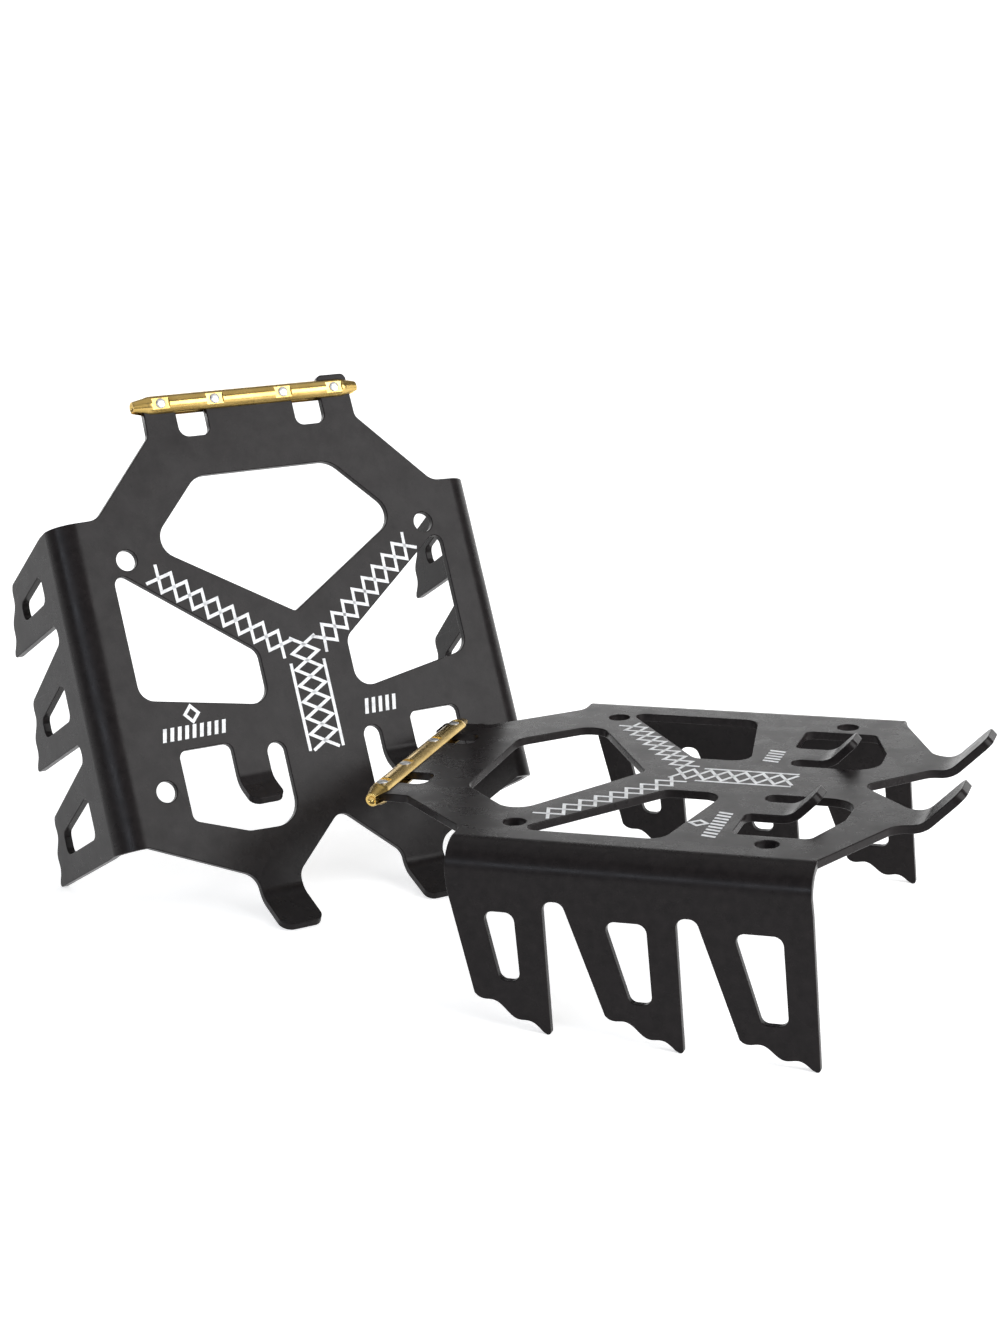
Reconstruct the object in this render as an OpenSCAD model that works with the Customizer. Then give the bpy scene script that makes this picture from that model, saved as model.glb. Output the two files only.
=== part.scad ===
// A pair of splitboard crampons: one stands on its teeth, the other leans
// back on its rear fingers and rear teeth. Each is one folded sheet with a
// grooved hinge bar riveted to its front tabs.
//
// A crampon is drawn in its own frame: X across it, Y forward towards the
// hinge bar, Z up from the top face of the sheet. Depths run down from there.

/* [Sheet] */
// Thickness of the sheet
sheet_t = 2.3; // [2:0.1:2.6]
// Width over the outside of the two toothed flanges at their tips
tip_width = 140; // [136:1:146]
// Outside radius of the fold between the top and a flange
bend_r = 8; // [6:0.5:9]
// Angle by which each flange leans outwards
flange_lean = 1.7; // [1:0.1:3]
// Diameter of the four round holes
hole_d = 6.2; // [5:0.1:7]

/* [Teeth] */
// Distance from one tooth tip to the next
tooth_pitch = 34.8; // [34:0.1:35.4]
// Depth of the rearmost tooth tip
tooth_depth = 52.6; // [50:0.1:56]
// How much shallower each next tooth forward is
tooth_step = 1.3; // [0.5:0.1:2]
// Height of the ripple along the bottom of a tooth
ripple_h = 0.8; // [0.2:0.1:1.2]
// Length of one ripple
ripple_pitch = 9.6; // [8:0.1:12]

/* [Fingers] */
// Angle by which the fingers turn up
finger_angle = 44; // [40:1:50]
// Inside radius of the fold at a finger's root
finger_r = 6; // [4:0.5:7]
// Straight length of a rear finger past its fold
rear_finger_l = 11.6; // [10:0.1:12.5]
// Straight length of an inner finger past its fold
inner_finger_l = 6.6; // [5:0.1:7]

/* [Hinge bar] */
// Diameter of the hinge bar
bar_d = 6; // [5.6:0.1:6.6]
// Length of the hinge bar
bar_l = 73.5; // [72:0.5:80]
// Length of the taper at each end
bar_taper = 5; // [3:0.5:6]
// Diameter of the flat face at each end
bar_end_d = 3.6; // [3:0.1:4.4]
// Depth of the groove along the rear of the bar
groove_depth = 1.9; // [1.2:0.1:2.2]
// Height over the milled flats above and below
flat_height = 5.0; // [4.6:0.1:5.4]
// Length of each milled flat
flat_l = 5.4; // [4:0.1:6]

/* [Rivets] */
// Diameter of a rivet's shank
rivet_d = 2.0; // [1.8:0.1:2.4]
// Diameter of a rivet's head
rivet_head_d = 3.1; // [2.4:0.1:3.2]
// Height of a rivet's domed head
rivet_head_h = 0.5; // [0.4:0.1:0.9]

/* [Arrangement] */
// Direction in which the leaning crampon is turned from the standing one
lean_turn = -39.7; // [-50:0.1:-35]

/* [Hidden] */

$fn = 48;
arc_steps = 6;          // flats along each rounded corner of an outline
fold_step = 7;          // degrees between the flats of a fold
slop = 1;               // how far a cutter runs past a face
flange_lap = 2;         // how far a flange's section runs back into the top of the sheet
finger_cut = 20;        // reach of the cutter that shapes a finger
side_clear = 0.02;      // how far that cutter stays off the finger's sides

sheet_black = [0.10, 0.095, 0.095];
brass = [0.83, 0.66, 0.33];
steel = [0.80, 0.81, 0.83];

// Flange: where the fold starts, and where its straight part starts
flange_r_in = bend_r - sheet_t;
outer_face_x = tip_width / 2 - tooth_depth * tan(flange_lean);
fold_x = outer_face_x + bend_r * tan(flange_lean) - bend_r / cos(flange_lean);
fold_depth = bend_r * (1 - sin(flange_lean));
flange_rear = 31.7;
flange_front = 126.6;

// Teeth, from the rear one forwards
rear_tip_y = 29.3;
tip_r = 0.8;
tips = [for (i = [0:2]) [rear_tip_y + i * tooth_pitch, tooth_depth - i * tooth_step]];
heels = [for (i = [0:2]) [rear_tip_y + i * tooth_pitch + 20.5, tooth_depth - 7.0 - 2.95 * i]];
slot_depths = [15.1, 13.6];
slot_width = 5.3;
slot_r = 2.6;
window_tops = [17.7, 17.5, 17.4];
window_bottoms = [41.0, 38.8, 35.7];
window_top_l = [12.7, 11.3, 8.5];
window_bottom_l = [6.8, 5.8, 5.5];

// Fingers: where their folds start, and their edges
rear_fold_y = 14.5;
inner_fold_y = 48;
rear_finger = [17, 30];
inner_finger = [18.8, 29.3];

// Hinge bar, its tabs and its rivets
bar_y = 158.7;
bar_z = -sheet_t / 2;
tab_end = bar_y + 1.6;
long_tab_end = bar_y + 4.4;
centre_tab = [-14.2, 14.2];
side_tab = [23.9, 33.8];
rivet_x = [-28.5, -11.25, 11.25, 28.5];
rivet_clear = 0.02;
tab_gap = 0.2;          // clearance beside each tab in the bar

// The holes' places on one half
holes = [[48.8, 114], [51.9, 46.4]];

// ---- outlines ---------------------------------------------------------
// An outline is a list of [x, y, radius]. Each corner becomes an arc.

function xy(p) = [p.x, p.y];
function unit(v) = v / norm(v);

function arc_centre(a, b, c, r) =
    let (u = unit(a - b), v = unit(c - b), half = acos(u * v) / 2)
    b + unit(u + v) * r / sin(half);

function corner(a, b, c, r) =
    r == 0 ? [b] :
    let (u = unit(a - b), v = unit(c - b), half = acos(u * v) / 2,
         o = arc_centre(a, b, c, r), reach = r / tan(half),
         s = b + u * reach - o, e = b + v * reach - o,
         start = atan2(s.y, s.x), turn = cross(s, e) > 0 ? 180 - 2 * half : 2 * half - 180)
    [for (i = [0:arc_steps])
        o + r * [cos(start + turn * i / arc_steps), sin(start + turn * i / arc_steps)]];

function rounded(p) =
    let (n = len(p))
    [for (i = [0:n - 1])
        each corner(xy(p[(i + n - 1) % n]), xy(p[i]), xy(p[(i + 1) % n]), p[i].z)];

// A half outline and its mirror image as one closed outline
function both_sides(p) =
    concat(p, [for (i = [len(p) - 1:-1:0]) if (p[i].x > 0) [-p[i].x, p[i].y, p[i].z]]);

top_half = [
    [centre_tab[1], tab_end, 0], [centre_tab[1], 148.4, 2.5],
    [side_tab[0], 148.4, 3], [side_tab[0], tab_end, 0],
    [side_tab[1], tab_end, 0], [34.1, 149.4, 3],
    [55.2, 126.8, 5.5], [fold_x, flange_front, 0], [fold_x, flange_rear, 0],
    [rear_finger[1], 17.8, 6], [rear_finger[1], rear_fold_y, 0],
    [rear_finger[0], rear_fold_y, 0], [rear_finger[0], 16.7, 4.8], [0, 32.4, 4]];

front_window_half = [[22.1, 136.4, 8], [40.7, 117.3, 6], [0, 92.4, 1.5]];

side_window = [[53.9, 112.1, 2.6], [53.7, 73.2, 5], [14.5, 66.2, 5], [14.5, 82.3, 4.5]];

rear_window = [
    [45.8, 57.1, 2.3], [45.7, 36.9, 2.5], [29.4, 31.1, 6],
    [12.9, 30.6, 7.5], [12.9, 55.1, 2.9], [inner_finger[0], 55.1, 2.9],
    [inner_finger[0], inner_fold_y, 0], [inner_finger[1], inner_fold_y, 0],
    [inner_finger[1], 57.1, 2.3]];

module top_outline() {
    difference() {
        union() {
            polygon(rounded(both_sides(top_half)));
            long_tab();
        }
        polygon(rounded(both_sides(front_window_half)));
        for (side = [0, 1]) mirror([side, 0]) {
            polygon(rounded(side_window));
            polygon(rounded(rear_window));
            for (h = holes) translate(h) circle(d = hole_d);
        }
        for (x = rivet_x) translate([x, bar_y]) circle(d = rivet_d + 2 * rivet_clear);
    }
}

// The one tab that reaches past the hinge bar
module long_tab() {
    polygon(rounded([
        [side_tab[0], 152, 0], [side_tab[1], 152, 0],
        [side_tab[1], long_tab_end, 1.8], [side_tab[0], long_tab_end, 1.8]]));
}

// The rippled bottom of tooth i, from its heel to its tip
function ripple(i) =
    let (heel = heels[i], tip = tips[i], span = heel.x - tip.x)
    [for (s = [span - 0.8:-0.8:1.8])
        [tip.x + s,
         tip.y + (heel.y - tip.y) * s / span
             - ripple_h / 2 + ripple_h * cos(360 * s / ripple_pitch), 0]];

function tooth(i) = concat([[heels[i].x, heels[i].y, 0.9]], ripple(i), [[tips[i].x, tips[i].y, tip_r]]);

function slot(i) =
    let (front = tips[i + 1].x + 1.9)
    [[front, slot_depths[i], slot_r], [front - slot_width, slot_depths[i], slot_r]];

// The flange in [Y, depth], running on above the sheet
flange_points = concat(
    [[flange_front, -slop, 0], [flange_front, fold_depth, 0], [126.2, 12, 10]],
    tooth(2), slot(1), tooth(1), slot(0), tooth(0),
    [[31.3, 12, 10], [flange_rear, fold_depth, 0], [flange_rear, -slop, 0]]);

function tooth_window(i) =
    let (top_y = tips[i].x + 9.4, bottom_y = tips[i].x + 8)
    [[top_y, window_tops[i], 2.6], [top_y + window_top_l[i], window_tops[i], 2.3],
     [bottom_y + window_bottom_l[i], window_bottoms[i], 2.3], [bottom_y, window_bottoms[i], 2.3]];

module flange_outline() {
    mirror([0, 1]) difference() {
        polygon(rounded(flange_points));
        for (i = [0:2]) polygon(rounded(tooth_window(i)));
    }
}

// ---- folded sheet -------------------------------------------------------
// The section of a sheet that runs along +X below Y = 0, from -lap, then folds
// upwards at X = 0 with inside radius r, and runs on straight.

function fold_section(r, angle, straight, lap) =
    let (steps = ceil(angle / fold_step), along = [cos(angle), sin(angle)],
         inner = [for (i = [0:steps]) let (a = angle * i / steps) [r * sin(a), r - r * cos(a)]],
         outer = [for (i = [steps:-1:0]) let (a = angle * i / steps, q = r + sheet_t)
             [q * sin(a), r - q * cos(a)]])
    concat(lap > 0 ? [[-lap, 0]] : [], inner,
           [inner[steps] + along * straight, outer[0] + along * straight],
           outer, lap > 0 ? [[-lap, -sheet_t]] : []);

module flange() {
    intersection() {
        translate([fold_x, flange_front + slop, -sheet_t]) mirror([0, 0, 1]) rotate([90, 0, 0])
            linear_extrude(flange_front - rear_tip_y + 2 * slop)
                polygon(fold_section(flange_r_in, 90 - flange_lean, tooth_depth, flange_lap));
        translate([fold_x - flange_lap, 0, 0]) rotate([90, 0, 90])
            linear_extrude(tip_width / 2) flange_outline();
    }
}

// A finger that turns up at fold_y, between two edges, with a radius at each corner of its tip
module finger(edges, fold_y, straight, radii) {
    end = finger_r * sin(finger_angle) + straight;
    low = edges[0] - side_clear;
    high = edges[1] + side_clear;
    translate([0, fold_y, 0]) intersection() {
        translate([edges[1], 0, 0]) rotate([90, 0, -90]) linear_extrude(edges[1] - edges[0])
            polygon(fold_section(finger_r, finger_angle, straight, 0));
        rotate([-finger_angle, 0, 0]) translate([0, 0, -finger_cut])
            linear_extrude(2 * finger_cut) polygon(rounded([
                [low, finger_cut, 0], [high, finger_cut, 0],
                [high, -end, radii[1]], [low, -end, radii[0]]]));
    }
}

module plate() {
    color(sheet_black) union() {
        translate([0, 0, -sheet_t]) linear_extrude(sheet_t) top_outline();
        for (side = [0, 1]) mirror([side, 0, 0]) {
            flange();
            finger(rear_finger, rear_fold_y, rear_finger_l, [3, 3.8]);
            finger(inner_finger, inner_fold_y, inner_finger_l, [2.6, 3]);
        }
    }
}

// ---- hinge bar and rivets ----------------------------------------------

bar_profile = [
    [0, 1.2], [1.1, 0], [bar_end_d / 2, 0], [bar_d / 2 - 0.3, bar_taper - 1],
    [bar_d / 2, bar_taper + 1], [bar_d / 2, bar_l - bar_taper - 1],
    [bar_d / 2 - 0.3, bar_l - bar_taper + 1], [bar_end_d / 2, bar_l],
    [1.1, bar_l], [0, bar_l - 1.2]];

// A box between two corners
module block(low, high) {
    translate(low) cube(high - low);
}

module pivot_bar() {
    r = bar_d / 2;
    half_t = sheet_t / 2;
    color(brass) translate([0, bar_y, bar_z]) difference() {
        translate([-bar_l / 2, 0, 0]) rotate([90, 0, 90]) rotate_extrude() polygon(bar_profile);
        block([-bar_l, -r - slop, -half_t], [bar_l, -r + groove_depth, half_t]);
        for (x = [centre_tab, [-side_tab[1], -side_tab[0]]])
            block([x[0] - tab_gap, -r - slop, -half_t], [x[1] + tab_gap, tab_end - bar_y, half_t]);
        block([side_tab[0] - tab_gap, -r - slop, -half_t],
              [side_tab[1] + tab_gap, r + slop, half_t]);
        for (x = rivet_x) {
            for (up = [0, 1]) mirror([0, 0, up])
                block([x - flat_l / 2, -r - slop, flat_height / 2],
                      [x + flat_l / 2, r + slop, r + slop]);
            translate([x, 0, -r - slop]) cylinder(d = rivet_d + 2 * rivet_clear, h = bar_d + 2 * slop);
        }
    }
}

module rivet(i) {
    h = flat_height / 2;
    shank = rivet_d / 2;
    head = rivet_head_d / 2;
    dome = [for (a = [0:15:90]) [head * cos(a), h + 0.15 + (rivet_head_h - 0.15) * sin(a)]];
    half = concat([[shank, 0], [shank, h], [head, h]], dome);
    color(steel) translate([rivet_x[i - 1], bar_y, bar_z]) for (up = [0, 1])
        mirror([0, 0, up]) rotate_extrude() polygon(concat([[0, 0]], half));
}

// ---- the two crampons in place -------------------------------------------

// Centre of the arc at the tip of tooth i
function foot_of(i) =
    let (behind = i == 0 ? [31.3, 12, 0] : slot(i - 1)[0], in_front = ripple(i))
    arc_centre(xy(behind), xy(tips[i]), xy(in_front[len(in_front) - 1]), tip_r);

foot = foot_of(0);
front_foot = foot_of(2);
// Lower edge of a rear finger's end
finger_turn = [sin(finger_angle), cos(finger_angle)];
finger_end = [
    rear_fold_y - (finger_r + sheet_t) * finger_turn[0] - rear_finger_l * finger_turn[1],
    finger_r - (finger_r + sheet_t) * finger_turn[1] + rear_finger_l * finger_turn[0]];

// Standing: the tips lie on the floor
stand_tilt = atan2(foot.y - front_foot.y, front_foot.x - foot.x);
// Leaning: fingers' ends and rear teeth on the floor
foot_from_finger = [foot.x - finger_end.x, -foot.y - finger_end.y];
lean_tilt = asin(tip_r / norm(foot_from_finger)) - atan2(foot_from_finger.y, foot_from_finger.x);

// Where the leaning crampon's finger ends are, from the standing one's rear teeth
lean_place = [-4.8, 142.3];
// Middle of the floor that the pair covers, from the standing one's rear teeth
pair_middle = [19.945, 116.512];

module in_pair() {
    rotate([0, 0, 90]) translate([-pair_middle.x, -pair_middle.y, 0]) children();
}

module standing() {
    in_pair() translate([0, 0, tip_r]) rotate([-stand_tilt, 0, 0])
        translate([0, -foot.x, foot.y]) children();
}

module leaning() {
    in_pair() translate([lean_place.x, lean_place.y, 0]) rotate([0, 0, lean_turn])
        rotate([lean_tilt, 0, 0]) translate([0, -finger_end.x, -finger_end.y]) children();
}

standing() plate();  // standing_plate
standing() pivot_bar();  // standing_pivot_bar
standing() rivet(1);  // standing_rivet_1
standing() rivet(2);  // standing_rivet_2
standing() rivet(3);  // standing_rivet_3
standing() rivet(4);  // standing_rivet_4
leaning() plate();  // leaning_plate
leaning() pivot_bar();  // leaning_pivot_bar
leaning() rivet(1);  // leaning_rivet_1
leaning() rivet(2);  // leaning_rivet_2
leaning() rivet(3);  // leaning_rivet_3
leaning() rivet(4);  // leaning_rivet_4
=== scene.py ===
"""Looks for the pair of splitboard crampons: bent sheets, hinge bars, rivets and the white print.

Everything is drawn in one crampon's own frame in millimetres (X across it, Y forward to the
hinge bar, Z up from the top face), then put in the pair's frame in metres, once for the
crampon that stands and once for the one that leans back.
"""

import math

import bmesh
import bpy
from mathutils import Matrix, Vector


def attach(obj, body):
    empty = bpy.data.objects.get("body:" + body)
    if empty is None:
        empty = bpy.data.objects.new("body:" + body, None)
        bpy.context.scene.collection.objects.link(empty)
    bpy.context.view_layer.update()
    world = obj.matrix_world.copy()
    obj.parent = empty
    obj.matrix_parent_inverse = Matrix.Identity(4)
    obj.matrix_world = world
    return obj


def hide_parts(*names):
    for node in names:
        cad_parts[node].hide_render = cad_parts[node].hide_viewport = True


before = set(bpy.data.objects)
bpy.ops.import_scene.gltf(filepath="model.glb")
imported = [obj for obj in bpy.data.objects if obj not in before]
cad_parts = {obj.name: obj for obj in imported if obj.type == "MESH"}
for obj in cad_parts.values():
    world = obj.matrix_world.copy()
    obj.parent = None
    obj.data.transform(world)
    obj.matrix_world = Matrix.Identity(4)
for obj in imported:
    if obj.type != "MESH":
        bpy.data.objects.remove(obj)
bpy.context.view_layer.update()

MM = 0.001

# ---- sizes, in mm, as in the CAD -----------------------------------------------------------

# The sheet, its two folds and its toothed flanges, which splay outwards
SHEET_T = 2.3
BEND_R = 8.0
SPLAY = math.radians(1.7)
TIP_WIDTH = 140.0
TOOTH_DEPTH = 52.6
TOOTH_PITCH = 34.8
TOOTH_STEP = 1.3
TIP_R = 0.8
REAR_TIP_Y = 29.3
HEEL_BACK = 20.5
HEEL_RISE = 7.0
HEEL_RISE_STEP = 2.95
HEEL_R = 0.9
RIPPLE_H = 0.8
RIPPLE_PITCH = 9.6
RIPPLE_STEP = 0.4
RIPPLE_PLAIN_HEEL = 0.8
RIPPLE_PLAIN_TIP = 1.8
HOLE_R = 3.1

OUTER_FACE_X = TIP_WIDTH / 2 - TOOTH_DEPTH * math.tan(SPLAY)
FOLD_X = OUTER_FACE_X + BEND_R * math.tan(SPLAY) - BEND_R / math.cos(SPLAY)
FOLD_DEPTH = BEND_R * (1 - math.sin(SPLAY))
FOLD_ANGLE = math.pi / 2 - SPLAY
FOLD_ARC = (BEND_R - SHEET_T / 2) * FOLD_ANGLE
FLANGE_REAR = 31.7
FLANGE_FRONT = 126.6
SHOULDER_REAR = (31.3, 12)
SHOULDER_FRONT = (126.2, 12)
SHOULDER_R = 10

# The fingers that turn up, and the notch between the rear two
FINGER_ANGLE = math.radians(44)
FINGER_R = 6.0
FINGER_ARC = (FINGER_R + SHEET_T / 2) * FINGER_ANGLE
REAR_FINGER = {"edges": (17.0, 30.0), "fold_y": 14.5, "straight": 11.6}
INNER_FINGER = {"edges": (18.8, 29.3), "fold_y": 48.0, "straight": 6.6}
FINGER_MARGIN = 0.3
NOTCH_MOUTH_Y = 16.7
NOTCH_TOP_Y = 32.4
NOTCH_CORNER_R = 4.8
NOTCH_R = 4

# The hinge bar, the tabs that carry it and the rivets through both
BAR_Y = 158.7
BAR_Z = -SHEET_T / 2
BAR_R = 3.0
BAR_L = 73.5
BAR_TAPER = 5.0
BAR_END_R = 1.8
BAR_STEPS = 96
BAR_EDGE = 0.12
BAR_EDGE_ANGLE = math.radians(25)
TAPER_BLEND = 1.2
TAPER_BLEND_DROP = 0.42
TAPER_BLEND_STEPS = 5
DRILL_DEPTH = 1.2
GROOVE_DEPTH = 1.9
FLAT_HEIGHT = 5.0
FLAT_L = 5.4
TAB_ROOT_Y = 148.4
TAB_END = BAR_Y + 1.6
LONG_TAB_END = BAR_Y + 4.4
LONG_TAB_R = 1.8
CENTRE_TAB = 14.2
SIDE_TAB = (23.9, 33.8)
RIVET_X = (-28.5, -11.25, 11.25, 28.5)
RIVET_R = 1.0
RIVET_HEAD_R = 1.55
RIVET_HEAD_H = 0.5
RIVET_HEAD_RIM = 0.12
RIVET_STEPS = 40
DOME_STEPS = 8

HOLES = ((48.8, 114.0), (51.9, 46.4))

# Teeth, from the rear one to the front one, as (Y, depth below the top face)
TEETH = range(3)
TIPS = [(REAR_TIP_Y + i * TOOTH_PITCH, TOOTH_DEPTH - i * TOOTH_STEP) for i in TEETH]
HEELS = [(REAR_TIP_Y + i * TOOTH_PITCH + HEEL_BACK,
          TOOTH_DEPTH - HEEL_RISE - HEEL_RISE_STEP * i) for i in TEETH]
SLOT_FRONT = 1.9
SLOT_DEPTHS = (15.1, 13.6)
SLOT_WIDTH = 5.3
SLOT_R = 2.6
WINDOW_TOP_Y = 9.4
WINDOW_BOTTOM_Y = 8
WINDOW_SHARP_R = 2.3
WINDOW_SOFT_R = 2.6
WINDOW_TOPS = (17.7, 17.5, 17.4)
WINDOW_BOTTOMS = (41.0, 38.8, 35.7)
WINDOW_TOP_L = (12.7, 11.3, 8.5)
WINDOW_BOTTOM_L = (6.8, 5.8, 5.5)

# Where the pair's crampons lie
LEAN_TURN = math.radians(-39.7)
LEAN_PLACE = (-4.8, 142.3)
PAIR_MIDDLE = (19.945, 116.512)

# How finely the meshes are made
EDGE_BEVEL = 0.28
ARC_STEPS = 10
CIRCLE_STEPS = 64
FOLD_CUTS = 30
FINGER_CUTS = 14

# The print
INK_TOP = 0.045
INK_SINK = 0.02
LINE = 0.95
THIN_LINE = 0.9
MITRE_LIMIT = 0.36
ARM_REACH = 3.3
STEM_REACH = ARM_REACH + 0.9
RAIL_OFF = ARM_REACH + 2.1
ARM_CELLS = 9
STEM_CELLS = 7
ARM_END = (42.6, 109.0)
ARM_ROOT = (5.0, 81.5)
STEM_TOP = (0.0, 84.6)
RAIL_TOP = (0.0, 77.0)
STEM_END = (0.0, 50.6)
BAR_PITCH = 2.3
BAR_SLANT = 0.9

# ---- outlines: lists of (x, y, corner radius) ----------------------------------------------


def unit(v):
    return v / v.length


def left_of(d):
    """The direction d turned a quarter to the left."""
    return Vector((-d.y, d.x))


def corner_sides(a, b, c):
    """The directions from b to a and from b to c, and half of the angle between them."""
    u, v = unit(a - b), unit(c - b)
    return u, v, math.acos(max(-1.0, min(1.0, u.dot(v)))) / 2


def arc_centre(a, b, c, r):
    """Centre of the arc of radius r that rounds corner b between a and c."""
    a, b, c = Vector(a), Vector(b), Vector(c)
    u, v, half = corner_sides(a, b, c)
    return b + unit(u + v) * r / math.sin(half)


def corner(a, b, c, r):
    """The points of the arc of radius r that rounds corner b between a and c."""
    a, b, c = Vector(a), Vector(b), Vector(c)
    if r == 0:
        return [tuple(b)]
    u, v, half = corner_sides(a, b, c)
    o = arc_centre(a, b, c, r)
    reach = r / math.tan(half)
    s, e = b + u * reach - o, b + v * reach - o
    start = math.atan2(s.y, s.x)
    turn = math.pi - 2 * half if s.x * e.y - s.y * e.x > 0 else 2 * half - math.pi
    points = []
    for i in range(ARC_STEPS + 1):
        at = start + turn * i / ARC_STEPS
        points.append((o.x + r * math.cos(at), o.y + r * math.sin(at)))
    return points


def rounded(points):
    """A closed outline with its corners rounded, as (x, y)."""
    out = []
    n = len(points)
    for i, (x, y, r) in enumerate(points):
        out += corner(points[i - 1][:2], (x, y), points[(i + 1) % n][:2], r)
    return out


def mirrored(points):
    """The same outline on the other side of the crampon's middle."""
    return [(-p[0],) + tuple(p[1:]) for p in reversed(points)]


def circle(x, y, r):
    turns = [2 * math.pi * i / CIRCLE_STEPS for i in range(CIRCLE_STEPS)]
    return [(x + r * math.cos(turn), y + r * math.sin(turn)) for turn in turns]


def ripple(i):
    """The wavy bottom of tooth i, from its heel to its tip, as (Y, depth)."""
    (hy, hd), (ty, td) = HEELS[i], TIPS[i]
    span = hy - ty
    out = []
    s = span - RIPPLE_PLAIN_HEEL
    while s >= RIPPLE_PLAIN_TIP - 1e-9:
        wave = -RIPPLE_H / 2 + RIPPLE_H * math.cos(2 * math.pi * s / RIPPLE_PITCH)
        out.append((ty + s, td + (hd - td) * s / span + wave, 0))
        s -= RIPPLE_STEP
    return out


def tooth(i):
    """The bottom of tooth i, from its heel to its tip."""
    return [HEELS[i] + (HEEL_R,)] + ripple(i) + [TIPS[i] + (TIP_R,)]


def slot(i):
    """The top of the gap between tooth i and the one in front of it."""
    front = TIPS[i + 1][0] + SLOT_FRONT
    return [(front, SLOT_DEPTHS[i], SLOT_R), (front - SLOT_WIDTH, SLOT_DEPTHS[i], SLOT_R)]


def tooth_window(i):
    """The window in tooth i, as (Y, depth, corner radius)."""
    top_y, bottom_y = TIPS[i][0] + WINDOW_TOP_Y, TIPS[i][0] + WINDOW_BOTTOM_Y
    return [(top_y, WINDOW_TOPS[i], WINDOW_SOFT_R),
            (top_y + WINDOW_TOP_L[i], WINDOW_TOPS[i], WINDOW_SHARP_R),
            (bottom_y + WINDOW_BOTTOM_L[i], WINDOW_BOTTOMS[i], WINDOW_SHARP_R),
            (bottom_y, WINDOW_BOTTOMS[i], WINDOW_SHARP_R)]


def unfold(points):
    """(Y, depth) on a flange to (distance across the flat pattern, Y)."""
    return [(FOLD_X + FOLD_ARC + (d - FOLD_DEPTH) / math.cos(SPLAY), y) for y, d in points]


def finger_flat_end(finger):
    """Y of a finger's end in the flat pattern."""
    return finger["fold_y"] - FINGER_ARC - finger["straight"]


def half_outline(long_tab):
    """Right half of the outline: its front and rear in the flat pattern, and its flange."""
    end = LONG_TAB_END if long_tab else TAB_END
    end_r = LONG_TAB_R if long_tab else 0
    front = [(CENTRE_TAB, TAB_END, 0), (CENTRE_TAB, TAB_ROOT_Y, 2.5),
             (SIDE_TAB[0], TAB_ROOT_Y, 3), (SIDE_TAB[0], end, end_r),
             (SIDE_TAB[1], end, end_r), (34.1, 149.4, 3), (55.2, 126.8, 5.5),
             (FOLD_X, FLANGE_FRONT, 0)]
    flange = [(FLANGE_FRONT, FOLD_DEPTH, 0), (*SHOULDER_FRONT, SHOULDER_R)]
    flange += tooth(2) + slot(1) + tooth(1) + slot(0) + tooth(0)
    flange += [(*SHOULDER_REAR, SHOULDER_R), (FLANGE_REAR, FOLD_DEPTH, 0)]
    end_y = finger_flat_end(REAR_FINGER)
    low, high = REAR_FINGER["edges"]
    rear = [(FOLD_X, FLANGE_REAR, 0), (high, 17.8, 6), (high, end_y, 3.8), (low, end_y, 3),
            (low, NOTCH_MOUTH_Y, NOTCH_CORNER_R)]
    return front, flange, rear


def whole_outline():
    """The flat pattern's outline, rounded, both halves."""
    def side(long_tab):
        """From beside the middle of the front to beside the middle of the rear."""
        front, flange, rear = half_outline(long_tab)
        closed = [(0, TAB_END, 0)] + front + rear + [(0, NOTCH_TOP_Y, 0)]
        top = rounded(closed)
        edge = unfold(rounded(flange))
        at = max(i for i, p in enumerate(top) if abs(p[1] - FLANGE_FRONT) < 1e-3)
        return top[1:at + 1] + edge + top[at + 1:-1]

    mouth_x = REAR_FINGER["edges"][0]
    notch = corner((-mouth_x, NOTCH_MOUTH_Y), (0, NOTCH_TOP_Y), (mouth_x, NOTCH_MOUTH_Y),
                   NOTCH_R)
    right = side(True)
    left = [(-x, y) for x, y in reversed(side(False))]
    if notch[0][0] < notch[-1][0]:
        notch.reverse()
    return right + notch + left


def openings():
    """Every hole in the flat pattern."""
    low, high = INNER_FINGER["edges"]
    end_y = finger_flat_end(INNER_FINGER)
    front_window = [(22.1, 136.4, 8), (40.7, 117.3, 6), (0, 92.4, 1.5)]
    side_window = [(53.9, 112.1, 2.6), (53.7, 73.2, 5), (14.5, 66.2, 5), (14.5, 82.3, 4.5)]
    rear_window = [(45.8, 57.1, 2.3), (45.7, 36.9, 2.5), (29.4, 31.1, 6), (12.9, 30.6, 7.5),
                   (12.9, 55.1, 2.9), (low, 55.1, 2.9), (low, end_y, 2.6), (high, end_y, 3),
                   (high, 57.1, 2.3)]
    found = [rounded(front_window + mirrored(front_window[:2]))]
    right = [rounded(side_window), rounded(rear_window)]
    right += [circle(x, y, HOLE_R) for x, y in HOLES]
    right += [unfold(rounded(tooth_window(i))) for i in TEETH]
    for outline in right:
        found += [outline, mirrored(outline)]
    return found


# ---- the bent sheet ------------------------------------------------------------------------


def bend_up(y, h, finger):
    """(Y, Z) of a point past a finger's fold, y in the flat pattern, h above the top face."""
    s = finger["fold_y"] - y
    angle = min(s / FINGER_ARC, 1.0) * FINGER_ANGLE
    rho = FINGER_R - h
    past = max(s - FINGER_ARC, 0.0)
    return (finger["fold_y"] - rho * math.sin(angle) - past * math.cos(angle),
            FINGER_R - rho * math.cos(angle) + past * math.sin(angle))


def in_finger(x, y, finger):
    """Whether a point of the flat pattern is on a finger, past its fold."""
    low, high = finger["edges"]
    return (low - FINGER_MARGIN < abs(x) < high + FINGER_MARGIN
            and finger_flat_end(finger) - FINGER_MARGIN < y < finger["fold_y"])


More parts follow.
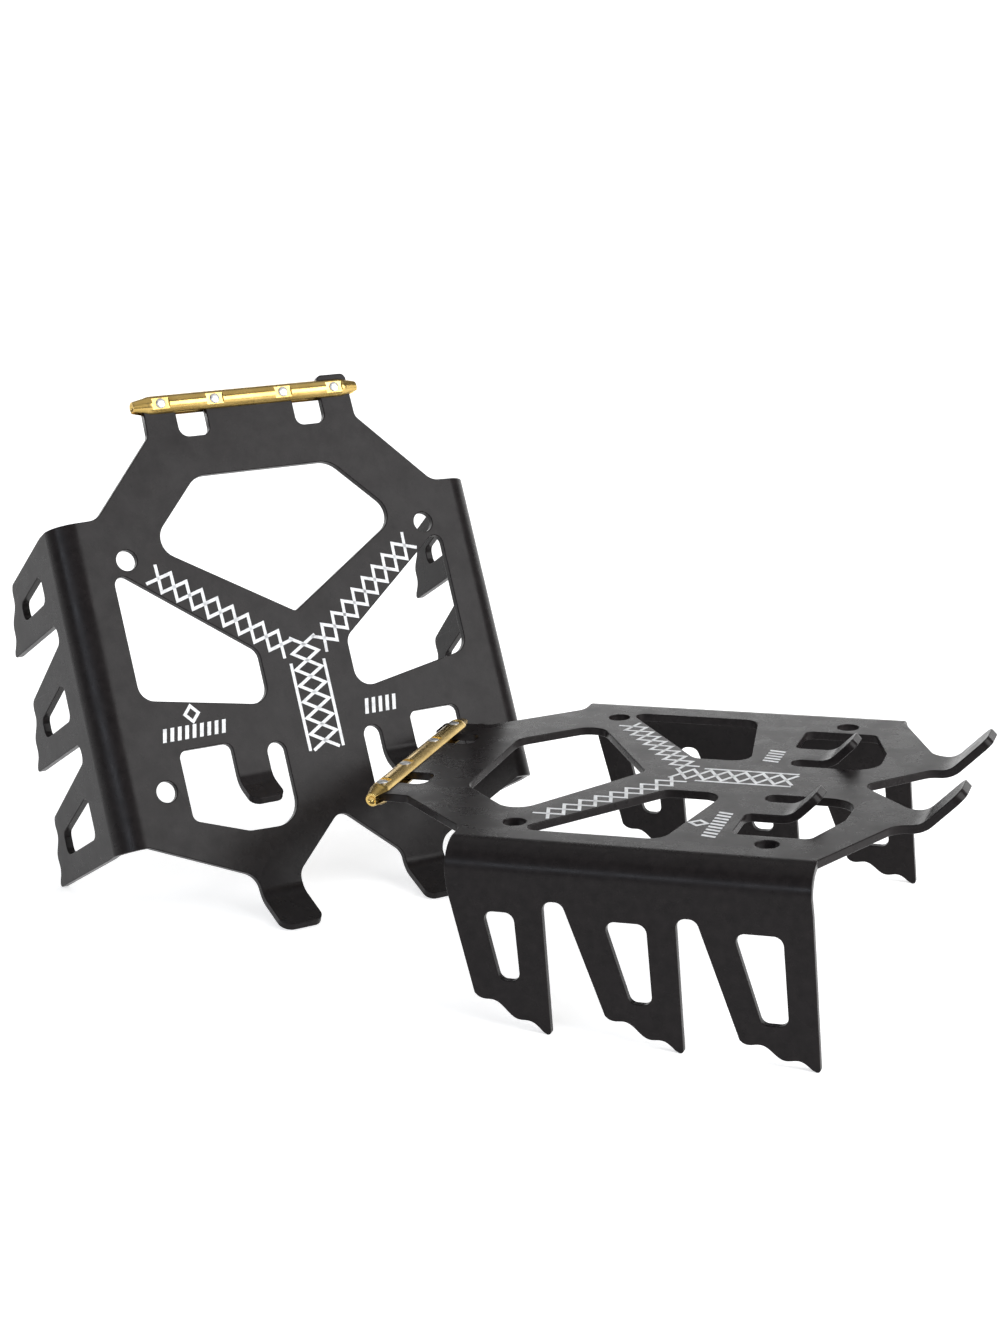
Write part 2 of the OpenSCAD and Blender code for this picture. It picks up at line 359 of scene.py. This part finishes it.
def bend(x, y, h):
    """The flat pattern's (x, y) and height h above its top face to the bent sheet."""
    if abs(x) > FOLD_X:
        s = abs(x) - FOLD_X
        angle = min(s / FOLD_ARC, 1.0) * FOLD_ANGLE
        rho = BEND_R + h
        past = max(s - FOLD_ARC, 0.0)
        across = FOLD_X + rho * math.sin(angle) + past * math.cos(angle)
        down = BEND_R - rho * math.cos(angle) + past * math.sin(angle)
        return math.copysign(across, x), y, -down
    for finger in (REAR_FINGER, INNER_FINGER):
        if in_finger(x, y, finger):
            yy, zz = bend_up(y, h, finger)
            return x, yy, zz
    return x, y, h


def new_mesh(obj):
    """The mesh of an object as its modifiers or its curve make it."""
    bpy.context.view_layer.update()
    return bpy.data.meshes.new_from_object(
        obj.evaluated_get(bpy.context.evaluated_depsgraph_get()))


def filled(name, outlines):
    """A flat plate with rounded edges, from outlines, as a bmesh with its top face at Z = 0."""
    curve = bpy.data.curves.new(name, "CURVE")
    curve.dimensions = "2D"
    curve.fill_mode = "BOTH"
    curve.extrude = SHEET_T / 2 - EDGE_BEVEL
    curve.bevel_depth = EDGE_BEVEL
    curve.bevel_resolution = 2
    curve.offset = -EDGE_BEVEL
    for points in outlines:
        spline = curve.splines.new("POLY")
        spline.points.add(len(points) - 1)
        for p, q in zip(spline.points, points):
            p.co = (q[0], q[1], 0, 1)
        spline.use_cyclic_u = True
    holder = bpy.data.objects.new(name, curve)
    bpy.context.scene.collection.objects.link(holder)
    mesh = new_mesh(holder)
    bpy.data.objects.remove(holder)
    bpy.data.curves.remove(curve)
    bm = bmesh.new()
    bm.from_mesh(mesh)
    bpy.data.meshes.remove(mesh)
    bmesh.ops.remove_doubles(bm, verts=bm.verts, dist=1e-4)
    for v in bm.verts:
        v.co.z -= SHEET_T / 2
    return bm


def cut(bm, point, normal, wanted=None):
    """Cuts with a plane the faces that wanted says yes to, or every face."""
    faces = [f for f in bm.faces if wanted is None or wanted(f.calc_center_median())]
    geom = set(faces)
    for f in faces:
        geom.update(f.edges)
        geom.update(f.verts)
    bmesh.ops.bisect_plane(bm, geom=list(geom), dist=1e-5, plane_co=point, plane_no=normal)


# The rounded edge faces get the "edge" material, a lighter copy of the sheet's colour: a painted
# highlight where the edges catch light.
SHEET_MATERIALS = ("sheet", "cut", "edge")


def sheet_material(normal):
    """Which of the sheet's materials a face of the flat pattern has."""
    if abs(normal.z) > 0.999:
        return SHEET_MATERIALS.index("sheet")
    return SHEET_MATERIALS.index("cut" if abs(normal.z) < 0.1 else "edge")


def bent_sheet(name):
    """The whole sheet of one crampon as a mesh in its own frame, in mm."""
    bm = filled(name, [whole_outline()] + openings())
    for side in (-1, 1):
        for k in range(FOLD_CUTS + 1):
            x = side * (FOLD_X + FOLD_ARC * k / FOLD_CUTS)
            cut(bm, (x, 0, 0), (1, 0, 0))
    for finger in (REAR_FINGER, INNER_FINGER):
        cut(bm, (0, finger["fold_y"], 0), (0, 1, 0))
        for k in range(1, FINGER_CUTS + 1):
            y = finger["fold_y"] - FINGER_ARC * k / FINGER_CUTS
            cut(bm, (0, y, 0), (0, 1, 0), lambda c, f=finger: in_finger(c.x, c.y, f))
    for f in bm.faces:
        f.material_index = sheet_material(f.normal)
        f.smooth = True
    for v in bm.verts:
        v.co = bend(*v.co)
    bmesh.ops.recalc_face_normals(bm, faces=bm.faces)
    return bm


# ---- hinge bar and rivets ------------------------------------------------------------------


def lathe(profile, steps):
    """A closed solid from (along, radius) points, turned about X."""
    bm = bmesh.new()
    rings = []
    for a, r in profile:
        if r == 0:
            rings.append([bm.verts.new((a, 0, 0))])
        else:
            rings.append([bm.verts.new((a, r * math.cos(2 * math.pi * i / steps),
                                        r * math.sin(2 * math.pi * i / steps)))
                          for i in range(steps)])
    for one, two in zip(rings, rings[1:]):
        for i in range(steps):
            j = (i + 1) % steps
            if len(one) == 1:
                bm.faces.new((one[0], two[i], two[j]))
            elif len(two) == 1:
                bm.faces.new((one[i], two[0], one[j]))
            else:
                bm.faces.new((one[i], two[i], two[j], one[j]))
    bmesh.ops.recalc_face_normals(bm, faces=bm.faces)
    return bm


def to_object(name, bm):
    mesh = bpy.data.meshes.new(name)
    bm.to_mesh(mesh)
    bm.free()
    obj = bpy.data.objects.new(name, mesh)
    bpy.context.scene.collection.objects.link(obj)
    return obj


def block(low, high):
    """A box between two opposite corners."""
    bm = bmesh.new()
    bmesh.ops.create_cube(bm, size=1)
    for v in bm.verts:
        v.co = [low[i] if v.co[i] < 0 else high[i] for i in range(3)]
    return bm


def subtract(obj, cutters):
    """Cuts each bmesh out of the object."""
    for i, bm in enumerate(cutters):
        tool = to_object("cutter_%d" % i, bm)
        mod = obj.modifiers.new("cut", "BOOLEAN")
        mod.object = tool
        mod.operation = "DIFFERENCE"
        mod.solver = "EXACT"
        apply_modifiers(obj)
        bpy.data.objects.remove(tool)


def apply_modifiers(obj):
    mesh = new_mesh(obj)
    obj.modifiers.clear()
    old = obj.data
    obj.data = mesh
    bpy.data.meshes.remove(old)


def bar_profile():
    """(along X, radius), with a drilled centre in each end and a soft start of each taper."""
    half = BAR_L / 2
    one_end = [(-half + DRILL_DEPTH, 0), (-half + 0.15, 1.0), (-half, 1.15),
               (-half, BAR_END_R - 0.25), (-half + 0.08, BAR_END_R - 0.07),
               (-half + 0.28, BAR_END_R + 0.04)]
    taper_end = -half + BAR_TAPER
    for k in range(TAPER_BLEND_STEPS + 1):
        t = k / TAPER_BLEND_STEPS
        x = taper_end - TAPER_BLEND + 2 * TAPER_BLEND * t
        one_end.append((x, BAR_R - TAPER_BLEND_DROP * (1 - t) ** 2))
    return one_end + [(-a, r) for a, r in reversed(one_end)]


def pivot_bar(name):
    """The turned bar, with its groove for the tabs and the flats at its rivets."""
    obj = to_object(name, lathe(bar_profile(), BAR_STEPS))
    far = BAR_L
    half_t = SHEET_T / 2
    r = BAR_R
    cutters = [block((-far, -r - 1, -half_t), (far, -r + GROOVE_DEPTH, half_t))]
    for x in RIVET_X:
        for z0, z1 in ((FLAT_HEIGHT / 2, r + 1), (-r - 1, -FLAT_HEIGHT / 2)):
            cutters.append(block((x - FLAT_L / 2, -r - 1, z0), (x + FLAT_L / 2, r + 1, z1)))
    subtract(obj, cutters)
    bevel = obj.modifiers.new("edges", "BEVEL")
    bevel.width = BAR_EDGE
    bevel.segments = 2
    bevel.limit_method = "ANGLE"
    bevel.angle_limit = BAR_EDGE_ANGLE
    apply_modifiers(obj)
    for f in obj.data.polygons:
        f.use_smooth = True
    obj.data.transform(Matrix.Translation((0, BAR_Y, BAR_Z)))
    return obj


def rivet(name, x):
    """A rivet with a domed head on both ends, through bar and tab."""
    h = FLAT_HEIGHT / 2
    dome = []
    for k in range(DOME_STEPS + 1):
        a = math.pi / 2 * k / DOME_STEPS
        dome.append((h + RIVET_HEAD_RIM + (RIVET_HEAD_H - RIVET_HEAD_RIM) * math.sin(a),
                     RIVET_HEAD_R * math.cos(a)))
    dome[-1] = (h + RIVET_HEAD_H, 0)
    half = [(h - 0.35, RIVET_R), (h - 0.02, RIVET_R), (h + 0.001, RIVET_HEAD_R - 0.06),
            (h + 0.05, RIVET_HEAD_R)] + dome[1:]
    profile = [(-a, r) for a, r in reversed(half)] + half
    bm = lathe(profile, RIVET_STEPS)
    for f in bm.faces:
        f.smooth = True
    obj = to_object(name, bm)
    upright = Matrix.Rotation(-math.pi / 2, 4, "Y")
    obj.data.transform(Matrix.Translation((x, BAR_Y, BAR_Z)) @ upright)
    return obj


# ---- the white print -----------------------------------------------------------------------


def stroke(bm, points, width, closed=False):
    """A flat line of even width with mitred corners, standing a little proud of the sheet."""
    pts = [Vector(p) for p in points]
    n = len(pts)
    left, right = [], []
    for i, p in enumerate(pts):
        before = pts[i - 1] if i or closed else None
        after = pts[(i + 1) % n] if i < n - 1 or closed else None
        if before is None:
            side = left_of(unit(after - p)) * width / 2
        elif after is None:
            side = left_of(unit(p - before)) * width / 2
        else:
            n0, n1 = left_of(unit(p - before)), left_of(unit(after - p))
            m = n0 + n1
            m = unit(m) if m.length > 1e-6 else n0
            side = m * width / 2 / max(m.dot(n0), MITRE_LIMIT)
        left.append(p + side)
        right.append(p - side)
    pairs = list(zip(left, right))
    if closed:
        pairs.append(pairs[0])
    for (a, b), (c, d) in zip(pairs, pairs[1:]):
        solid_quad(bm, (a, b, d, c))


def solid_quad(bm, corners):
    """A thin tile with the four corners, a little proud of the sheet's top."""
    top = [bm.verts.new((p[0], p[1], INK_TOP)) for p in corners]
    low = [bm.verts.new((p[0], p[1], -INK_SINK)) for p in corners]
    bm.faces.new(top)
    bm.faces.new(list(reversed(low)))
    for i in range(len(corners)):
        j = (i + 1) % len(corners)
        bm.faces.new((top[i], low[i], low[j], top[j]))


def along(start, end, t, off):
    """A point t of the way from start to end, off to the left of the line."""
    s, e = Vector(start), Vector(end)
    return s + (e - s) * t + left_of(unit(e - s)) * off


def chain(bm, start, end, cells, reach, width):
    """A band of crossed zig-zags: a row of equal diamonds from start to end."""
    for side in (-1, 1):
        points = [along(start, end, k / cells, side * reach * (1 if k % 2 else -1))
                  for k in range(cells + 1)]
        stroke(bm, points, width)


def rail(bm, start, end, off, width):
    """A straight line beside a band."""
    stroke(bm, [along(start, end, 0, off), along(start, end, 1, off)], width)


def diamond(bm, x, y, w, h, width):
    """A diamond's outline about (x, y), w to each side and h up and down."""
    stroke(bm, [(x - w, y), (x, y + h), (x + w, y), (x, y - h)], width, closed=True)


def slanted_bars(bm, x, y, count, tall):
    """A row of short bars, all leaning the same way."""
    for k in range(count):
        left = x + k * BAR_PITCH
        right = left + BAR_PITCH / 2
        solid_quad(bm, ((left, y), (right, y), (right + BAR_SLANT, y + tall),
                        (left + BAR_SLANT, y + tall)))


def print_marks(name):
    """Even bands of diamonds on both arms and the stem, two rows of bars and a diamond."""
    bm = bmesh.new()
    for side in (-1, 1):
        arm = (side * ARM_END[0], ARM_END[1]), (side * ARM_ROOT[0], ARM_ROOT[1])
        chain(bm, *arm, ARM_CELLS, ARM_REACH, LINE)
    chain(bm, STEM_TOP, STEM_END, STEM_CELLS, STEM_REACH, LINE)
    for side in (-1, 1):
        rail(bm, RAIL_TOP, STEM_END, side * RAIL_OFF, LINE)
    slanted_bars(bm, -50.0, 60.2, count=9, tall=3.9)
    slanted_bars(bm, 14.8, 58.6, count=5, tall=4.6)
    diamond(bm, -39.5, 67.2, w=2.1, h=2.3, width=THIN_LINE)
    bmesh.ops.recalc_face_normals(bm, faces=bm.faces)
    return to_object(name, bm)


# ---- materials -----------------------------------------------------------------------------


class Nodes:
    """A new material and short ways to add nodes to it."""

    def __init__(self, name):
        self.material = bpy.data.materials.new(name)
        self.material.use_nodes = True
        self.tree = self.material.node_tree
        self.shader = self.tree.nodes["Principled BSDF"]
        coords = self.tree.nodes.new("ShaderNodeTexCoord")
        self.coords = coords.outputs["Object"]

    def link(self, a, b):
        self.tree.links.new(a, b)

    def noise(self, scale, detail=4.0, roughness=0.55, stretch=None):
        node = self.tree.nodes.new("ShaderNodeTexNoise")
        node.inputs["Scale"].default_value = scale
        node.inputs["Detail"].default_value = detail
        node.inputs["Roughness"].default_value = roughness
        vector = self.coords
        if stretch:
            mapping = self.tree.nodes.new("ShaderNodeMapping")
            mapping.inputs["Scale"].default_value = stretch
            self.link(vector, mapping.inputs["Vector"])
            vector = mapping.outputs["Vector"]
        self.link(vector, node.inputs["Vector"])
        return node.outputs["Fac"]

    def ramp(self, value, stops):
        """Colours for a value, from (position, colour) stops."""
        node = self.tree.nodes.new("ShaderNodeValToRGB")
        elements = node.color_ramp.elements
        while len(elements) < len(stops):
            elements.new(0.5)
        for e, (at, colour) in zip(elements, stops):
            e.position = at
            e.color = (*colour, 1)
        self.link(value, node.inputs["Fac"])
        return node.outputs["Color"]

    def grey_ramp(self, value, low, high, at=(0.3, 0.7)):
        return self.ramp(value, [(at[0], (low,) * 3), (at[1], (high,) * 3)])

    def bump(self, heights, distance):
        """Chains a bump for each (value, strength)."""
        normal = None
        for value, strength in heights:
            node = self.tree.nodes.new("ShaderNodeBump")
            node.inputs["Strength"].default_value = strength
            node.inputs["Distance"].default_value = distance
            self.link(value, node.inputs["Height"])
            if normal:
                self.link(normal, node.inputs["Normal"])
            normal = node.outputs["Normal"]
        self.link(normal, self.shader.inputs["Normal"])


def anodised(name, dark, light, rough, grain):
    """A faintly mottled satin black, between two colours."""
    m = Nodes(name)
    mottling = m.noise(scale=420, detail=6, roughness=0.62)
    m.link(m.ramp(mottling, [(0.30, dark), (0.74, light)]), m.shader.inputs["Base Color"])
    m.link(m.grey_ramp(m.noise(scale=120, detail=5, roughness=0.6), rough - 0.05, rough + 0.07),
           m.shader.inputs["Roughness"])
    m.shader.inputs["Metallic"].default_value = 0.0
    m.shader.inputs["IOR"].default_value = 1.2
    m.bump([(m.noise(scale=260, detail=3), 0.08 * grain),
            (m.noise(scale=2600, detail=2), 0.20 * grain)], distance=0.00004)
    return m.material


def brass(name):
    m = Nodes(name)
    m.link(m.ramp(m.noise(scale=140, detail=4),
                  [(0.3, (0.44, 0.295, 0.088)), (0.7, (0.60, 0.425, 0.145))]),
           m.shader.inputs["Base Color"])
    turned = m.noise(scale=60, detail=3, roughness=0.6, stretch=(1.0, 1.0, 14.0))
    m.link(m.grey_ramp(turned, 0.18, 0.33), m.shader.inputs["Roughness"])
    m.shader.inputs["Metallic"].default_value = 1.0
    m.bump([(m.noise(scale=900, detail=2), 0.12)], distance=0.00003)
    return m.material


def steel(name):
    m = Nodes(name)
    m.link(m.grey_ramp(m.noise(scale=900, detail=5), 0.34, 0.72),
           m.shader.inputs["Base Color"])
    m.link(m.grey_ramp(m.noise(scale=1500, detail=3), 0.34, 0.52),
           m.shader.inputs["Roughness"])
    m.shader.inputs["Metallic"].default_value = 1.0
    m.bump([(m.noise(scale=1800, detail=2), 0.15)], distance=0.00003)
    return m.material


def ink(name):
    """White print, a little worn."""
    m = Nodes(name)
    m.link(m.ramp(m.noise(scale=420, detail=5, roughness=0.65),
                  [(0.30, (0.50, 0.50, 0.51)), (0.52, (0.74, 0.75, 0.76))]),
           m.shader.inputs["Base Color"])
    m.link(m.grey_ramp(m.noise(scale=800, detail=3), 0.42, 0.60),
           m.shader.inputs["Roughness"])
    m.bump([(m.noise(scale=2200, detail=2), 0.25)], distance=0.00003)
    return m.material


# ---- the two crampons in place -------------------------------------------------------------


def rot(axis, angle):
    return Matrix.Rotation(angle, 4, axis)


def foot_of(i):
    """(Y, depth) of the centre of the rounding at the tip of tooth i."""
    behind = SHOULDER_REAR if i == 0 else slot(i - 1)[0][:2]
    return arc_centre(behind, TIPS[i], ripple(i)[-1][:2], TIP_R)


FOOT = foot_of(0)
FRONT_FOOT = foot_of(2)
# Each crampon rests on its own points: six tips, or two finger ends and two tips.
STAND_TILT = math.atan2(FOOT.y - FRONT_FOOT.y, FRONT_FOOT.x - FOOT.x)
FINGER_END = Vector(bend_up(finger_flat_end(REAR_FINGER), -SHEET_T, REAR_FINGER))
TO_FOOT = Vector((FOOT.x - FINGER_END.x, -FOOT.y - FINGER_END.y))
LEAN_TILT = math.asin(TIP_R / TO_FOOT.length) - math.atan2(TO_FOOT.y, TO_FOOT.x)

IN_PAIR = (Matrix.Scale(MM, 4) @ rot("Z", math.pi / 2)
           @ Matrix.Translation((-PAIR_MIDDLE[0], -PAIR_MIDDLE[1], 0)))
PLACES = {
    "standing": IN_PAIR @ Matrix.Translation((0, 0, TIP_R)) @ rot("X", -STAND_TILT)
    @ Matrix.Translation((0, -FOOT.x, FOOT.y)),
    "leaning": IN_PAIR @ Matrix.Translation((*LEAN_PLACE, 0)) @ rot("Z", LEAN_TURN)
    @ rot("X", LEAN_TILT) @ Matrix.Translation((0, -FINGER_END.x, -FINGER_END.y)),
}

MATERIALS = {
    "sheet": anodised("anodised_sheet", (0.0090, 0.0077, 0.0079),
                      (0.0158, 0.0133, 0.0135), rough=0.27, grain=1.0),
    "cut": anodised("anodised_cut_edge", (0.0070, 0.0062, 0.0060),
                    (0.0170, 0.0150, 0.0145), rough=0.40, grain=1.6),
    # Painted highlight: the rounded edges are about twice as light as the sheet, to look lit
    # along their length.
    "edge": anodised("anodised_edge_painted_highlight", (0.016, 0.014, 0.0135),
                     (0.034, 0.030, 0.029), rough=0.26, grain=0.6),
    "brass": brass("light_brass"),
    "steel": steel("bright_steel"),
    "ink": ink("white_print"),
}


def weighted(obj):
    """Keeps flat faces flat beside the small rounded edges."""
    mod = obj.modifiers.new("normals", "WEIGHTED_NORMAL")
    mod.weight = 100
    mod.keep_sharp = True


def place(obj, which, materials, replaced):
    """Puts a piece on its crampon, with its materials and the CAD node that it replaces."""
    obj.data.transform(PLACES[which])
    obj.data.update()
    obj.data.materials.clear()
    for m in materials:
        obj.data.materials.append(MATERIALS[m])
    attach(obj, which + "_crampon")
    if replaced:
        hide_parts(replaced)
    return obj


for which in PLACES:
    sheet = to_object(which + "_bent_sheet", bent_sheet(which + "_flat"))
    weighted(place(sheet, which, SHEET_MATERIALS, which + "_plate"))
    bar = pivot_bar(which + "_turned_bar")
    weighted(place(bar, which, ("brass",), which + "_pivot_bar"))
    for i, x in enumerate(RIVET_X, 1):
        pin = rivet("%s_domed_rivet_%d" % (which, i), x)
        place(pin, which, ("steel",), "%s_rivet_%d" % (which, i))
    place(print_marks(which + "_print"), which, ("ink",), None)

# ---- floor, light and camera ---------------------------------------------------------------

FLOOR_REACH = 12.0
FLOOR_GLOW_REACH = 2.4
FLOOR_GLOW = 0.6
WORLD_LIGHT = 0.2
WORLD_SEEN = 1.0
CAMERA_AT = Vector((0.22210, -0.6397, 0.26139))
CAMERA_HEADING = math.radians(108.813)
CAMERA_PITCH = math.radians(-15.921)
CAMERA_LENS = 66.02
CAMERA_SENSOR = 36
CAMERA_NEAR = 0.01


def add_floor(name, material):
    bm = bmesh.new()
    bmesh.ops.create_grid(bm, x_segments=1, y_segments=1, size=FLOOR_REACH)
    obj = to_object(name, bm)
    obj.data.materials.append(material)


def aim(obj, at, towards, axis):
    """Puts an object at a point, with its own axis towards another point."""
    obj.location = at
    obj.rotation_euler = (Vector(towards) - Vector(at)).to_track_quat(axis, "Y").to_euler()


def add_wall(name, at, towards, width, height, glow):
    """A glowing white card that faces towards."""
    bm = bmesh.new()
    for x, z in ((-1, -1), (1, -1), (1, 1), (-1, 1)):
        bm.verts.new((x * width / 2, z * height / 2, 0))
    bm.faces.new(bm.verts)
    obj = to_object(name, bm)
    aim(obj, at, towards, "Z")
    m = Nodes(name)
    m.link(m.ramp(m.noise(scale=2, detail=2), [(0.3, (0.97, 0.97, 0.97)), (0.7, (1, 1, 1))]),
           m.shader.inputs["Emission Color"])
    m.shader.inputs["Base Color"].default_value = (0.9, 0.9, 0.9, 1)
    m.shader.inputs["Emission Strength"].default_value = glow
    obj.data.materials.append(m.material)


def glowing_floor(name):
    """A white floor that glows more with distance, so that it stays white to its far edge."""
    m = Nodes(name)
    m.link(m.grey_ramp(m.noise(scale=8, detail=2), 0.88, 0.90),
           m.shader.inputs["Base Color"])
    m.shader.inputs["Roughness"].default_value = 0.8
    near = m.tree.nodes.new("ShaderNodeTexGradient")
    near.gradient_type = "SPHERICAL"
    mapping = m.tree.nodes.new("ShaderNodeMapping")
    mapping.inputs["Scale"].default_value = (1 / FLOOR_GLOW_REACH,) * 3
    m.link(m.coords, mapping.inputs["Vector"])
    m.link(mapping.outputs["Vector"], near.inputs["Vector"])
    m.link(m.grey_ramp(near.outputs["Fac"], 1.0, FLOOR_GLOW, at=(0.0, 0.75)),
           m.shader.inputs["Emission Color"])
    m.shader.inputs["Emission Strength"].default_value = 1.0
    return m.material


add_floor("floor", glowing_floor("pale_floor"))
add_wall("backdrop", at=(-1.3, 4.2, 0.75), towards=(-0.1, 0.3, 0.75), width=14.0,
         height=2.3, glow=1.0)


def area_light(name, at, towards, size, power, colour=(1, 1, 1)):
    data = bpy.data.lights.new(name, "AREA")
    data.shape = "RECTANGLE"
    data.size, data.size_y = size
    data.energy = power
    data.color = colour
    obj = bpy.data.objects.new(name, data)
    aim(obj, at, towards, "-Z")
    bpy.context.scene.collection.objects.link(obj)


area_light("overhead", at=(0.0, 0.3, 2.2), towards=(0, 0.1, 0), size=(2.6, 2.6), power=13)
area_light("right", at=(1.22, -0.22, 0.72), towards=(-0.05, 0, 0.08), size=(1.1, 0.9), power=21)
area_light("strip", at=(-0.31, -1.15, 0.47), towards=(0, 0, 0.05), size=(1.2, 0.04), power=4,
           colour=(0.80, 0.88, 1.0))
area_light("left", at=(-1.3, 0.5, 0.35), towards=(0, 0, 0.08), size=(1.0, 0.7), power=2)

# The world is white where the camera sees it, and dim for everything else.
world = bpy.data.worlds.new("soft_studio")
bpy.context.scene.world = world
world.use_nodes = True
background = world.node_tree.nodes["Background"]
background.inputs["Color"].default_value = (1, 1, 1, 1)
light_path = world.node_tree.nodes.new("ShaderNodeLightPath")
strength = world.node_tree.nodes.new("ShaderNodeMapRange")
strength.inputs["To Min"].default_value = WORLD_LIGHT
strength.inputs["To Max"].default_value = WORLD_SEEN
world.node_tree.links.new(light_path.outputs["Is Camera Ray"], strength.inputs["Value"])
world.node_tree.links.new(strength.outputs["Result"], background.inputs["Strength"])
bpy.context.scene.view_settings.view_transform = "Standard"

camera_data = bpy.data.cameras.new("camera")
camera_data.lens = CAMERA_LENS
camera_data.sensor_width = CAMERA_SENSOR
camera_data.sensor_fit = "AUTO"
camera_data.clip_start = CAMERA_NEAR
camera = bpy.data.objects.new("camera", camera_data)
look = Vector((math.cos(CAMERA_HEADING) * math.cos(CAMERA_PITCH),
               math.sin(CAMERA_HEADING) * math.cos(CAMERA_PITCH), math.sin(CAMERA_PITCH)))
camera.location = CAMERA_AT
camera.rotation_euler = look.to_track_quat("-Z", "Y").to_euler()
bpy.context.scene.collection.objects.link(camera)
bpy.context.scene.camera = camera
